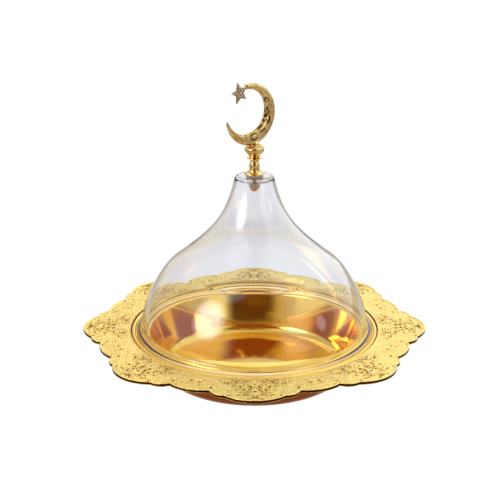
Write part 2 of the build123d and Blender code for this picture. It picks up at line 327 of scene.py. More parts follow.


# Inside and outside of one sheet, the outside browner with painted shade, with a bead round the flange
def makeBowl():
    b = bowl
    sheet = b["sheet"]
    beadInside = seatEdge - b["beadWidth"]
    crown = sheet + b["rise"]
    inner = [(0, crown), (b["riseRadius"] / 2, crown), (b["riseRadius"], sheet), (b["floor"], sheet),
             (b["mouth"], seatZ), (beadInside, seatZ)]
    outer = parallel(inner[:-1] + [(seatEdge, seatZ)], sheet)
    bends = [b["crownBend"], b["riseBend"], b["corner"], b["mouthBend"]]
    outerBends = [bends[0] - sheet, bends[1] + sheet, bends[2] + sheet, bends[3] - sheet]
    half = b["beadWidth"] / 2
    bead = [(beadInside + half - half * math.cos(a), seatZ + b["beadHeight"] * math.sin(a))
            for a in np.linspace(b["beadStart"], math.pi, num=9)]
    inside = rounded(inner, bends, count=12) + bead
    outside = rounded(outer, outerBends, count=12)[::-1]
    # painted shade: the whole outside is marked dark, the inside not at all
    paintedShade = [0.0] * len(inside) + [1.0] * len(outside)
    obj = lathe("bowlShell", (inside + outside)[::-1], bowlGold, b["segments"], paintedShade=paintedShade[::-1])
    return dressed(obj, "plate", "bowl")


makeBowl()
say("bowl")

# Dome

dome = {"wall": 2.5, "top": 5.0, "hole": 2.8, "ceilingBend": 2.0, "segments": 256,
        "sunk": 0.05,  # into the seat, so that the gold shows through the lip
        "lipHeight": 2.4, "lipFlare": 5.8, "lipBends": [0.7, 0.9], "flareOut": 1.0, "flareUp": 0.6,
        # the bell's foot, waist and neck: where each is, how it leans in degrees, and its handles
        "footHeight": 9.0, "footLean": 2.2, "footPull": 19.1,
        "waistInset": 29.4, "waistHeight": 69.0, "waistLean": 51.9, "belowPull": 13.5, "abovePull": 47.7,
        "neckRadius": 19.5, "neckLean": 13.0, "neckPull": 43.4, "neckCorner": 3.5, "cornerPull": 0.55}


# Point at a distance along a line that leans inwards from upright
def leaning(start, degrees, length):
    a = math.radians(degrees)
    return (start[0] - length * math.sin(a), start[1] + length * math.cos(a))


# The bell's half section from its foot to its neck, moved inwards
def bellCurve(inward):
    d = dome
    footRadius = lipRadius - d["lipFlare"]
    foot = leaning((footRadius, seatZ + d["footHeight"]), d["footLean"] + 90, inward)
    waist = leaning((footRadius - d["waistInset"], seatZ + d["waistHeight"]), d["waistLean"] + 90, inward)
    neck = leaning((d["neckRadius"], domeTopZ - d["neckCorner"]), d["neckLean"] + 90, inward)
    lower = bezier([foot, leaning(foot, d["footLean"], d["footPull"]),
                    leaning(waist, d["waistLean"], -d["belowPull"]), waist], count=40)
    upper = bezier([waist, leaning(waist, d["waistLean"], d["abovePull"]),
                    leaning(neck, d["neckLean"], -d["neckPull"]), neck], count=48)
    return lower + upper[1:]


def makeDome():
    d = dome
    outside = bellCurve(0)
    inside = bellCurve(d["wall"])
    foot, neck = outside[0], outside[-1]
    base = seatZ - d["sunk"]
    lipTop = seatZ + d["lipHeight"]
    lip = rounded([(inside[0][0], base), (lipRadius, base), (lipRadius, lipTop), foot], d["lipBends"],
                  count=5)
    flare = bezier([lip[-2], (foot[0] + d["flareOut"], lipTop + d["flareUp"]), foot], count=9)
    edge = neck[0] - d["neckCorner"]
    pull = d["cornerPull"] * d["neckCorner"]
    crown = bezier([neck, leaning(neck, d["neckLean"], pull), (edge + pull, domeTopZ), (edge, domeTopZ)],
                   count=8)
    ceiling = domeTopZ - d["top"]
    under = rounded([(d["hole"], ceiling), (inside[-1][0], ceiling), inside[-1]], [d["ceilingBend"]], count=6)
    bell = outside[1:] + crown[1:] + [(d["hole"], domeTopZ)]
    profile = lip[:-1] + flare[1:] + bell + under[:-1] + inside[::-1]
    return dressed(lathe("clearDome", profile, acrylic, d["segments"]), "lid", "dome")


makeDome()
say("dome")

# Embossed rim

rim = {"lobes": 8, "turn": 4.0, "width": 48.87,
       # how far the outline's corners lie below a lobe's tip, and their angles from its middle
       "smallNotch": 8.7, "smallAngle": 9.5, "shoulder": 9.5, "largeNotch": 16.2, "largeAngle": 15.3,
       "crest": 12.5,
       "border": 2.2, "borderHeight": 0.7, "lip": 2.0, "plate": 2.8, "ledgeBore": 108.5,
       "across": 160, "outward": 52, "weld": 0.04}
rimFaceZ = boxOf("rim_ring")[1].z - rim["borderHeight"]
rimUnderZ = boxOf("rim_ring")[0].z

# Ornament of half a lobe, which its other half mirrors: places are sideways from its middle and
# outwards from the inner lip
relief = {
    "seed": 11, "sag": 0.00279, "fade": 26,  # the fade is the whole width over the width it takes
    # tendrils: middle, size and way round, all from and to the same angle
    "tendrils": [(13, 15, 6.5, 1), (17, 30, 5.5, -1), (31, 14, 6.0, -1), (30, 27, 4.2, 1), (45, 17, 5.5, 1),
                 (52, 8, 3.2, -1)],
    "tendrilFrom": 0.6, "tendrilTo": 3.6 * math.pi,
    # stalks: ends and handles
    "stalks": [[(0, 4), (8, 8), (13, 22), (0, 30)], [(19, 9), (24, 4), (28, 8), (37, 12)],
               [(0, 36), (9, 41), (18, 38), (24, 33)], [(37, 20), (42, 26), (50, 24), (57, 22)],
               [(24, 20), (27, 22), (27, 30), (33, 32)]],
    "ridge": 0.6, "ridgeWidth": 0.75,
    # flowers: middle, number of petals, their distance from it, half length and half width
    "flowers": [(0, 27, 10, 4.6, 3.2, 1.3), (0, 41, 7, 2.8, 2.2, 1.0), (0, 12, 8, 3.0, 2.2, 1.1),
                (57, 14, 8, 3.2, 2.3, 1.1), (22, 22, 6, 1.9, 1.6, 0.9), (38, 30, 6, 1.7, 1.5, 0.8)],
    "petal": 0.6,
    # holes: middle and radius
    "holes": [(0, 27, 1.3), (0, 41, 1.0), (0, 12, 1.0), (57, 14, 1.3), (39, 23, 1.2), (31, 9, 1.0),
              (46, 29, 1.0), (36, 36, 0.9), (23, 36, 1.1), (50, 14, 1.0), (25, 12, 1.0)],
    # pits: how many are tried, where, how large, and how likely each is where the relief is crowded
    "pits": 170, "pitSideways": (0, 40), "pitOutwards": (2, 46), "pitSize": (0.6, 1.15), "pitChance": 0.9,
    "holeDepth": 1.1, "holeEdge": 1.25, "holeShade": 1.3,
    # lace: height, cell, line width, jitter sideways and outwards, and its share on calm ground
    "lace": 0.42, "laceCell": 3.4, "laceRow": 0.87, "laceWidth": 0.55, "laceJitter": (0.35, 0.3),
    "laceCells": 20, "laceLeast": 0.35,
    "clearFrom": 0.8, "clearOver": 1.2,  # no lace this near to a ridge, and all of it this much further
    # crowded places: strength, middle, half width and half height
    "crowds": [(1, 0, 30, 15, 13), (0.8, 17, 9, 14, 8), (0.55, 46, 18, 8, 9)], "crowdLeast": 0.12,
    "groundShade": (0.12, 0.4), "shadeHeight": 0.3}  # shade of calm ground, and what a crowd adds to it


# Middle and radius of the circle through three points
def arcThrough(a, b, c):
    (ax, ay), (bx, by), (cx, cy) = a, b, c
    d = 2 * (ax * (by - cy) + bx * (cy - ay) + cx * (ay - by))
    aa, bb, cc = ax * ax + ay * ay, bx * bx + by * by, cx * cx + cy * cy
    ux = (aa * (by - cy) + bb * (cy - ay) + cc * (ay - by)) / d
    uy = (aa * (cx - bx) + bb * (ax - cx) + cc * (bx - ax)) / d
    return ux, uy, math.hypot(ax - ux, ay - uy)


# Distance from the plate's middle to the scalloped edge, at an angle counted from a lobe's middle
def outlineRadius(degrees):
    tip = seatEdge + rim["width"]
    step = 360 / rim["lobes"]
    a = abs((degrees + step / 2) % step - step / 2)
    small, large = rim["smallAngle"], rim["largeAngle"]
    smallRadius, largeRadius = tip - rim["smallNotch"], tip - rim["largeNotch"]
    spans = [(small, [(smallRadius, -small), (tip, 0), (smallRadius, small)]),
             (large, [(smallRadius, small), (tip - rim["shoulder"], (small + large) / 2),
                      (largeRadius, large)]),
             (step, [(largeRadius, large), (tip - rim["crest"], step / 2), (largeRadius, step - large)])]
    corners = next(points for limit, points in spans if a <= limit + 1e-9)
    ux, uy, radius = arcThrough(*[polar(*corner) for corner in corners])
    out = Vector(polar(1, a))
    along = ux * out.x + uy * out.y
    return along + math.sqrt(radius ** 2 - (ux * ux + uy * uy - along * along))


# How crowded the relief is: most in a lobe's middle and along its foot, least towards the gaps
def crowding(x, y):
    total = relief["crowdLeast"]
    for strength, sideways, outwards, width, height in relief["crowds"]:
        total = total + strength * np.exp(-((x - sideways) / width) ** 2 - ((y - outwards) / height) ** 2)
    return np.clip(total, 0, 1)


# Points along the ridges, the petals, and the holes and pits
def reliefMotif():
    r = relief
    rng = np.random.default_rng(r["seed"])
    ridges = []
    turn = np.linspace(r["tendrilFrom"], r["tendrilTo"], num=90)
    for x, y, size, way in r["tendrils"]:
        radius = size * turn / turn[-1]
        ridges.append(np.stack([x + radius * np.cos(way * turn), y + radius * np.sin(way * turn)], 1))
    for stalk in r["stalks"]:
        ridges.append(np.array(bezier(stalk, count=60)))
    petals = []
    for x, y, count, reach, length, width in r["flowers"]:
        for index in range(count):
            a = 2 * math.pi * index / count
            petals.append((x + reach * math.sin(a), y + reach * math.cos(a), a, length, width))
    holes = list(r["holes"])
    for _ in range(r["pits"]):
        x, y = rng.uniform(*r["pitSideways"]), rng.uniform(*r["pitOutwards"])
        size = rng.uniform(*r["pitSize"])
        if rng.random() < crowding(x, y) ** 2 * r["pitChance"]:
            holes.append((x, y, size))
    return np.concatenate(ridges), petals, holes


# Distance from each point of a grid to the nearest and the second nearest of some places
def nearestTwo(places, x, y):
    first = np.full(x.shape, 1e9)
    second = np.full(x.shape, 1e9)
    for px, py in places:
        away = np.hypot(x - px, y - py)
        second = np.minimum(second, np.maximum(first, away))
        first = np.minimum(first, away)
    return first, second


# Height of the relief and shade of its hollows at each angle and radius of a lobe
def reliefHeight(angle, radius):
    r = relief
    x = np.abs(radius * np.sin(angle))
    y = radius * np.cos(angle) - seatEdge - rim["lip"] + r["sag"] * x * x
    ridges, petals, holes = reliefMotif()
    away = nearestTwo(ridges[::2], x, y)[0]
    height = r["ridge"] * np.exp(-(away / r["ridgeWidth"]) ** 2)
    rng = np.random.default_rng(r["seed"] + 1)
    cell, row = r["laceCell"], r["laceRow"]
    side, out = r["laceJitter"]
    knots = [(cell * (i + rng.uniform(-side, side)), cell * (j * row + rng.uniform(-out, out)))
             for i in range(-1, r["laceCells"]) for j in range(-2, r["laceCells"])]
    first, second = nearestTwo(knots, x, y)
    lace = np.exp(-((second - first) / r["laceWidth"]) ** 2)
    clear = np.clip((away - r["clearFrom"]) / r["clearOver"], 0, 1)
    crowd = crowding(x, y)
    height += r["lace"] * lace * clear * (r["laceLeast"] + (1 - r["laceLeast"]) * crowd)
    for px, py, turn, length, width in petals:
        along = (x - px) * math.sin(turn) + (y - py) * math.cos(turn)
        aside = (x - px) * math.cos(turn) - (y - py) * math.sin(turn)
        bulge = np.clip(1 - (along / length) ** 2 - (aside / width) ** 2, 0, 1)
        height = np.maximum(height, r["petal"] * np.sqrt(bulge))
    calmShade, crowdShade = r["groundShade"]
    hollow = (calmShade + crowdShade * crowd) * (1 - np.clip(height / r["shadeHeight"], 0, 1))
    for px, py, size in holes:
        depth = np.clip(r["holeEdge"] - np.hypot(x - px, y - py) / size, 0, 1)
        height = height * (1 - depth) - r["holeDepth"] * depth
        hollow = np.maximum(hollow, np.clip(depth * r["holeShade"], 0, 1))
    return height, hollow


# One lobe, from the middle of a gap to the middle of the next, closed all round its section
def makeSector():
    step = 360 / rim["lobes"]
    angles = np.linspace(-step / 2, step / 2, rim["across"] + 1)
    edge = np.array([outlineRadius(a) for a in angles])[:, None]
    start = seatEdge + rim["lip"]
    share = np.linspace(0, 1, rim["outward"])
    radius = start + (edge - rim["border"] - start) * share
    height, hollow = reliefHeight(np.radians(angles)[:, None] * np.ones_like(radius), radius)
    height = height * np.clip(np.minimum(share, 1 - share) * relief["fade"], 0, 1)
    top, under, bore = rim["borderHeight"], -rim["plate"], rim["ledgeBore"]
    low = rimUnderZ - rimFaceZ
    ledge = seatZ - bowl["sheet"] - rimFaceZ
    # raised border and the edge below it: out from the outline, up from the face, painted shade
    border = [(-1.9, 0.35, 0), (-1.4, top, 0), (-0.6, top - 0.05, 0), (-0.15, 0.3, 0.2), (0, 0, 0.8),
              (-0.15, -0.6, 1), (-0.35, -1.2, 1), (-0.25, -1.7, 0.9), (0, -2.1, 0.35), (-0.15, -2.5, 0.3),
              (-0.8, under, 0.6)]
    # underside, ledge for the bowl's flange and inner lip: radius, up from the face, painted shade
    inner = [(start + 0.4, under, 0.4), (start, under - 0.2, 0.4), (start, low + 0.3, 0.4),
             (start - 0.4, low, 0.4), (bore + 0.3, low, 0.4), (bore, low + 0.3, 0.4), (bore, ledge, 0.4),
             (seatEdge, ledge, 1), (seatEdge, -0.5, 1), (seatEdge + 0.9, 0.2, 1),
             (seatEdge + 1.1, top - 0.1, 0.2), (seatEdge + 1.7, top - 0.15, 0)]
    flat = np.zeros_like(edge)
    r = np.hstack([radius] + [edge + out for out, up, dark in border]
                  + [flat + out for out, up, dark in inner])
    z = np.hstack([height] + [flat + up for out, up, dark in border + inner]) + rimFaceZ
    paintedShade = np.hstack([hollow] + [flat + dark for out, up, dark in border + inner])
    a = np.radians(angles + rim["turn"])[:, None]
    verts = np.stack([r * np.cos(a), r * np.sin(a), z], 2).reshape(-1, 3) * mm
    wide = r.shape[1]
    faces = []
    for i in range(rim["across"]):
        for j in range(wide):
            k = (j + 1) % wide
            faces.append((i * wide + j, i * wide + k, (i + 1) * wide + k, (i + 1) * wide + j))
    mesh = bpy.data.meshes.new("rimSector")
    mesh.from_pydata(verts.tolist(), [], faces)
    storePaintedShade(mesh, paintedShade.reshape(-1))
    mesh.shade_smooth()
    return newObject("rimSector", mesh)


# Empty Geometry Nodes tree with named inputs, and its input and output nodes
def nodeTree(name, sockets):
    tree = bpy.data.node_groups.new(name, "GeometryNodeTree")
    for label, kind, value in [("Geometry", "NodeSocketGeometry", None)] + sockets:
        socket = tree.interface.new_socket(label, in_out="INPUT", socket_type=kind)
        if value is not None:
            socket.default_value = value
    tree.interface.new_socket("Geometry", in_out="OUTPUT", socket_type="NodeSocketGeometry")
    return tree, addNode(tree, "NodeGroupInput").outputs, addNode(tree, "NodeGroupOutput").inputs


# Plain mesh of what a tree makes of an object, on a new object at the origin
def bakedTree(obj, tree, values, name):
    modifier = obj.modifiers.new(name, "NODES")
    modifier.node_group = tree
    for item in tree.interface.items_tree:
        if item.item_type == "SOCKET" and item.in_out == "INPUT" and item.name in values:
            modifier[item.identifier] = values[item.name]
    bpy.context.view_layer.update()
    graph = bpy.context.evaluated_depsgraph_get()
    mesh = bpy.data.meshes.new_from_object(obj.evaluated_get(graph))
    obj.modifiers.remove(modifier)
    bpy.data.objects.remove(obj)
    mesh.name = name
    return newObject(name, mesh)


# Turns copies of the sector round the plate and welds their seams
def repeatAroundTree():
    tree, given, result = nodeTree("repeatAround", [("Copies", "NodeSocketInt", 8),
                                                    ("Weld", "NodeSocketFloat", 0.0001),
                                                    ("Material", "NodeSocketMaterial", None)])
    points = addNode(tree, "GeometryNodePoints", links={"Count": given["Copies"]})
    index = addNode(tree, "GeometryNodeInputIndex")
    share = addNode(tree, "ShaderNodeMath", {"operation": "DIVIDE"},
                    links={0: index.outputs[0], 1: given["Copies"]})
    turn = addNode(tree, "ShaderNodeMath", {"operation": "MULTIPLY"}, {1: 2 * math.pi}, {0: share.outputs[0]})
    spin = addNode(tree, "ShaderNodeCombineXYZ", links={"Z": turn.outputs[0]})
    copies = addNode(tree, "GeometryNodeInstanceOnPoints",
                     links={"Points": points.outputs[0], "Instance": given[0], "Rotation": spin.outputs[0]})
    real = addNode(tree, "GeometryNodeRealizeInstances", links={0: copies.outputs[0]})
    weld = addNode(tree, "GeometryNodeMergeByDistance", links={0: real.outputs[0], "Distance": given["Weld"]})
    addNode(tree, "GeometryNodeSetMaterial", links={0: weld.outputs[0], "Material": given["Material"]},
            into={0: result[0]})
    return tree


def makeRim():
    obj = bakedTree(makeSector(), repeatAroundTree(),
                    {"Copies": rim["lobes"], "Weld": rim["weld"] * mm, "Material": rimGold}, "embossedRim")
    obj.data.shade_smooth()
    return dressed(obj, "plate", "rim_ring")


makeRim()
say("rim")

# Finial stem

stem = {"bore": 2.55, "segments": 96, "sharpAngle": 50,
        "collarEdge": 1.2, "collarFlat": 1.4, "collarStep": 1.6, "collarSlope": 0.25,
        "collarBends": [0.35, 0.45], "collarPull": 0.6, "collarTop": 4.8,
        "balusterFoot": 4.4, "balusterBulge": 2.4, "balusterNeck": 4.1,
        "discHub": 4.6, "discEdge": 0.9, "discBend": 0.3, "discMiddle": 0.55, "discHalf": 0.35,
        "discSlope": 0.25,
        "knobFoot": 5.0, "knobTop": 5.6, "knobWidest": 8.6, "knobPull": 3.0}


# Foot, top and radius of a node
def span(node):
    low, high = boxOf(node)
    return low.z, high.z, high.x


def turned(name, node, outside):
    bore = stem["bore"]
    profile = [(bore, outside[0][1])] + outside + [(bore, outside[-1][1])]
    obj = lathe(name, profile, finialGold, stem["segments"], stem["sharpAngle"])
    return dressed(obj, "finial", node)


def makeCollar():
    s = stem
    low, high, wide = span("finial_collar")
    edge = low + s["collarEdge"]
    foot = rounded([(wide - s["collarFlat"], low), (wide, low), (wide, edge),
                    (wide - s["collarStep"], edge + s["collarSlope"])], s["collarBends"], count=4)
    slope = bezier([foot[-1], (s["collarTop"], edge + s["collarPull"]), (s["collarTop"], high)], count=14)
    turned("stemCollar", "finial_collar", foot + slope[1:])


def makeBaluster():
    s = stem
    low, high, wide = span("finial_baluster")
    neck = s["balusterNeck"]
    bulge = (wide, low + s["balusterBulge"])
    pull = s["balusterBulge"] / 2
    lower = bezier([(s["balusterFoot"], low), (wide, low + pull / 2), bulge], count=8)
    upper = bezier([bulge, (wide, bulge[1] + 2 * pull), (neck, high - 2 * pull), (neck, high)], count=16)
    turned("stemBaluster", "finial_baluster", lower + upper[1:])


def makeDisc():
    s = stem
    low, high, wide = span("finial_disc")
    hub, edge, bend = s["discHub"], wide - s["discBend"], s["discBend"]
    underEdge = high - s["discEdge"]
    under = bezier([(s["balusterNeck"], low), (hub, underEdge), (edge, underEdge)], count=8)
    rimArc = [(edge + bend * math.cos(a), high - s["discMiddle"] + s["discHalf"] * math.sin(a))
              for a in np.linspace(-1.5, 1.5, num=7)]
    slope = [(hub + bend, high - s["discSlope"]), (hub, high)]
    turned("stemDisc", "finial_disc", under[:-1] + rimArc + slope)


def makeKnob():
    s = stem
    low, high, wide = span("finial_knob")
    foot, top, widest = s["knobFoot"], s["knobTop"], low + s["knobWidest"]
    half = low + s["knobWidest"] / 2
    flare = bezier([(foot, low), (foot, half), (wide, half), (wide, widest)], count=18)
    pull = widest + s["knobPull"]
    crown = bezier([(wide, widest), (wide, pull), (top, pull), (top, high)], count=14)
    turned("stemKnob", "finial_knob", flare + crown[1:])


makeCollar()
makeBaluster()
makeDisc()
makeKnob()
say("stem")

# Crescent

crescent = {"radius": 29.7, "shift": -5.0, "thickness": 7.4, "boxiness": 0.8, "steps": 260, "round": 44,
            # widths at angles round the middle, from the upper tip over the right to the lower tip
            "angles": (106.0, 55.0, -30.0, -95.0, -138.0, -175.0), "widths": (4.4, 8.2, 13.0, 12.0, 6.6, 0.8),
            "thinnest": 0.5, "leastDepth": 2.2, "depthPerWidth": 0.75,
            "startTaper": (40, 0.05), "endTaper": (26, 0.03),  # how fast a tip closes, and how blunt it is
            "footRadius": 4.4, "foot": [(-0.5, 0.0), (0.0, 0.6), (-0.6, 2.2), (-1.6, 3.4)], "footTop": 4.2}
crescentMiddle = Vector((crescent["shift"], 0, boxOf("crescent")[1].z - crescent["radius"]))

cabochons = {"sunk": 0.15, "segments": 24, "backPlace": 90,
             # angle, place across the front in degrees from its outer edge, half length, half width, height
             "ovals": [(33, 134, 3.8, 2.4, 1.1), (38, 88, 2.0, 1.0, 0.8), (13, 86, 3.0, 1.7, 0.9),
                       (2, 150, 4.6, 2.2, 1.0), (-20, 130, 5.6, 3.7, 1.5), (-44, 80, 3.0, 1.6, 0.9),
                       (-52, 128, 5.2, 3.1, 1.4), (-86, 104, 4.8, 3.9, 1.5), (-119, 88, 3.4, 1.9, 0.9),
                       (-110, 130, 2.6, 1.3, 0.7), (62, 106, 3.8, 1.2, 0.7)],
             # raised setting, groove and stone, in shares of the size: radius, height, painted shade (darkest
             # in the groove and on the setting's sides)
             "section": [(1.08, -0.5, 1), (1.08, 0.0, 1), (1.0, 0.2, 0.5), (0.9, 0.32, 0), (0.84, 0.1, 1),
                         (0.6, 0.0, 1), (0.55, 0.3, 0.3), (0.42, 0.55, 0), (0.22, 0.66, 0), (0.05, 0.68, 0)]}


# Width at an angle, along a smooth curve through the named widths
def crescentWidth(degrees):
    xs = -np.array(crescent["angles"])
    ys = np.array(crescent["widths"])
    slopes = np.gradient(ys, xs)
    x = -degrees
    i = int(np.clip(np.searchsorted(xs, x) - 1, 0, len(xs) - 2))
    h = xs[i + 1] - xs[i]
    t = (x - xs[i]) / h
    return ((2 * t ** 3 - 3 * t ** 2 + 1) * ys[i] + (t ** 3 - 2 * t ** 2 + t) * h * slopes[i]
            + (3 * t ** 2 - 2 * t ** 3) * ys[i + 1] + (t ** 3 - t ** 2) * h * slopes[i + 1])


# Distance from the crescent's middle, and from its plane, of a point round the section; a tip draws
# the section's width and depth in
def sectionPoint(degrees, around, narrow=1.0, shallow=1.0):
    c = crescent
    full = max(crescentWidth(degrees), c["thinnest"])
    width = full * narrow
    depth = min(c["thickness"], c["leastDepth"] + width * c["depthPerWidth"]) * shallow
    a = math.radians(around)
    across = math.copysign(abs(math.cos(a)) ** c["boxiness"], math.cos(a)) * width / 2
    front = math.copysign(abs(math.sin(a)) ** c["boxiness"], math.sin(a)) * depth / 2
    return c["radius"] - full / 2 + across, front


# Share of the full section at a share of the length from a tip
def taper(along, shape):
    steepness, blunt = shape
    return math.sqrt(max(1 - (1 - min(1, along * steepness)) ** 2, blunt))


def makeCrescent():
    c = crescent
    verts = []
    first, last = c["angles"][0], c["angles"][-1]
    for step in range(c["steps"] + 1):
        t = step / c["steps"]
        degrees = first + (last - first) * t
        ends = taper(t, c["startTaper"]), taper(1 - t, c["endTaper"])
        for k in range(c["round"]):
            radius, front = sectionPoint(degrees, 360 * k / c["round"], ends[0] * ends[1], min(ends))
            x, z = polar(radius, degrees)
            verts.append((crescentMiddle + Vector((x, front, z))) * mm)
    rings = [list(range(start, start + c["round"])) for start in range(0, len(verts), c["round"])]
    faces = [rings[0], rings[-1][::-1]]
    for a, b in zip(rings, rings[1:]):
        for k in range(c["round"]):
            n = (k + 1) % c["round"]
            faces.append((a[k], b[k], b[n], a[n]))
    arc = meshObject("crescentMoon", verts, faces, finialGold, sharpAngle=60)
    low = boxOf("crescent")[0].z
    side = [(c["footRadius"] + out, low + up) for out, up in c["foot"]]
    foot = lathe("crescentFoot", [(0, low)] + side + [(0, low + c["footTop"])], finialGold, segments=64,
                 sharpAngle=50)
    both = [arc, foot]
    with bpy.context.temp_override(active_object=arc, object=arc, selected_objects=both,
                                   selected_editable_objects=both):
        bpy.ops.object.join()
    return dressed(arc, "finial", "crescent")


# Small round form of unit radius, to be set many times
def stamp(name, section, segments, mat):
    verts, faces, paintedShade = [], [], []
    for radius, height, dark in section:
        for step in range(segments):
            a = 2 * math.pi * step / segments
            verts.append((radius * math.cos(a), radius * math.sin(a), height))
            paintedShade.append(dark)
    for low in range(0, len(verts) - segments, segments):
        for step in range(segments):
            after = (step + 1) % segments
            faces.append((low + step, low + after, low + segments + after, low + segments + step))
    faces.append(tuple(range(len(verts) - segments, len(verts))))
    faces.append(tuple(range(segments))[::-1])
    obj = meshObject(name, verts, faces, mat, sharpAngle=30)
    # painted shade of each ring, darkest in the groove
    storePaintedShade(obj.data, paintedShade)
    return obj


# Sets a copy of one form on every point, with the point's own size and turn
def setOnPointsTree(name):
    tree, given, result = nodeTree(name, [("Form", "NodeSocketObject", None),
                                          ("Material", "NodeSocketMaterial", None)])
    form = addNode(tree, "GeometryNodeObjectInfo", links={"Object": given["Form"]})
    size = addNode(tree, "GeometryNodeInputNamedAttribute", {"data_type": "FLOAT_VECTOR"}, {"Name": "size"})
    turn = addNode(tree, "GeometryNodeInputNamedAttribute", {"data_type": "FLOAT_VECTOR"}, {"Name": "turn"})
    copies = addNode(tree, "GeometryNodeInstanceOnPoints",
                     links={"Points": given[0], "Instance": form.outputs["Geometry"],
                            "Rotation": turn.outputs["Attribute"], "Scale": size.outputs["Attribute"]})
    real = addNode(tree, "GeometryNodeRealizeInstances", links={0: copies.outputs[0]})
    addNode(tree, "GeometryNodeSetMaterial", links={0: real.outputs[0], "Material": given["Material"]},
            into={0: result[0]})
    return tree


# Plain mesh of the form at each place, with each one's size and turn
def setOnPoints(name, form, places, sizes, turns, mat):
    mesh = bpy.data.meshes.new(name + "Points")
    mesh.from_pydata([tuple(Vector(place) * mm) for place in places], [], [])
    for label, values, factor in (("size", sizes, mm), ("turn", turns, 1.0)):
        flat = (np.array(values, float) * factor).reshape(-1)
        mesh.attributes.new(label, "FLOAT_VECTOR", "POINT").data.foreach_set("vector", flat)
    points = newObject(name + "Points", mesh)
    result = bakedTree(points, setOnPointsTree(name), {"Form": form, "Material": mat}, name)
    bpy.data.objects.remove(form)
    result.data.set_sharp_from_angle(angle=math.radians(30))
    return result


# Ovals on both faces, tilted with the crescent's rounded section
def makeCabochons():
    form = stamp("cabochonForm", cabochons["section"], cabochons["segments"], finialGold)
    places, sizes, turns = [], [], []
    for degrees, frontPlace, length, width, height in cabochons["ovals"]:
        for side in (-1, 1):
            place = frontPlace if side < 0 else cabochons["backPlace"]
            radius, front = sectionPoint(degrees, place)
            nextRadius, nextFront = sectionPoint(degrees, place + 2)  # two degrees on, for the slope
            outX, outZ = polar(1, degrees)
            wider, forward = nextRadius - radius, nextFront - front
            along = Vector((-outZ, 0, outX))
            across = Vector((outX * wider, side * forward, outZ * wider))
            normal = across.cross(along).normalized() * side
            basis = Matrix((along, normal.cross(along), normal)).transposed()
            surface = crescentMiddle + Vector((outX * radius, side * front, outZ * radius))
            places.append(surface - normal * cabochons["sunk"])
            sizes.append((length, width, height))
            turns.append(tuple(basis.to_euler()))
    obj = setOnPoints("cabochons", form, places, sizes, turns, finialGold)
    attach(obj, "finial")
    return obj


makeCrescent()
makeCabochons()
say("crescent")

# Star and its stones

star = {"arms": 5, "outwards": 26.1, "angle": 122.4,  # its middle, from the crescent's
        "turn": 104.0, "radius": 10.3, "hollow": 4.9, "face": -1.6, "back": 0.7, "edge": 0.5,
        # stones along an arm and between two arms: share of the way out and radius; then the middle one
        "rows": [(0.32, 1.2), (0.55, 0.95), (0.74, 0.68), (0.88, 0.42)], "notch": (0.33, 0.72),
        "centre": 1.45,
        "stoneSection": [(1.0, -0.3, 0), (1.0, 0.0, 0), (0.78, 0.28, 0), (0.5, 0.42, 0)], "facets": 8,
        "stoneHeight": 1.1, "stoneLift": 0.05}
starX, starZ = polar(star["outwards"], star["angle"])
starMiddle = crescentMiddle + Vector((starX, 0, starZ))


# Flat cast star with bevelled edges
def makeStar():
    s = star
    bevelled = 1 - s["edge"] / s["radius"] * 2
    layers = [(s["face"], bevelled), (s["face"] + s["edge"], 1.0), (s["back"] - s["edge"], 1.0),
              (s["back"], bevelled)]
    count = 2 * s["arms"]
    verts = []
    for depth, share in layers:
        for corner in range(count):
            x, z = polar((s["radius"], s["hollow"])[corner % 2] * share, s["turn"] + 360 / count * corner)
            verts.append((starMiddle + Vector((x, depth, z))) * mm)
    faces = [tuple(range(count)), tuple(range(3 * count, 4 * count))[::-1]]
    for low in (0, count, 2 * count):
        for corner in range(count):
            after = (corner + 1) % count
            faces.append((low + corner, low + count + corner, low + count + after, low + after))
    obj = meshObject("starBody", verts, faces, starGold, sharpAngle=20)
    return dressed(obj, "finial", "star")


def makeStones():
    s = star
    form = stamp("stoneForm", s["stoneSection"], s["facets"], stoneMat)
    step = 360 / s["arms"]
    spots = [(0, 0, s["centre"])]
    for arm in range(s["arms"]):
        spots += [(s["turn"] + step * arm, share, size) for share, size in s["rows"]]
        spots.append((s["turn"] + step * arm + step / 2, *s["notch"]))
    places, sizes, turns = [], [], []
    for degrees, share, size in spots:
        x, z = polar(share * s["radius"], degrees)
        places.append(starMiddle + Vector((x, s["face"] + s["stoneLift"], z)))
        sizes.append((size, size, size * s["stoneHeight"]))
        turns.append((math.radians(90), math.radians(180 / s["facets"] - degrees), 0))
    obj = setOnPoints("starStones", form, places, sizes, turns, stoneMat)
    return dressed(obj, "finial", "star_stones")


makeStar()
makeStones()
say("star")

# Pieces that keep their CAD shape

for node, mat in {"upper_washer": silicone, "lower_washer": silicone, "steel_washer": steel, "tie_rod": steel,
                  "cap_nut": nutGold}.items():
    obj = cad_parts[node]
    obj.data.materials.clear()
    obj.data.materials.append(mat)
say("washers, rod and nut")

# Studio

view = {"framePixels": 500, "focalPixels": 1213.0, "distance": 1193.0, "elevation": 18.80, "azimuth": -41.0,
        "targetHeight": 81.5, "sideways": -4.3}  # the point looked at, over the seat and beside the axis

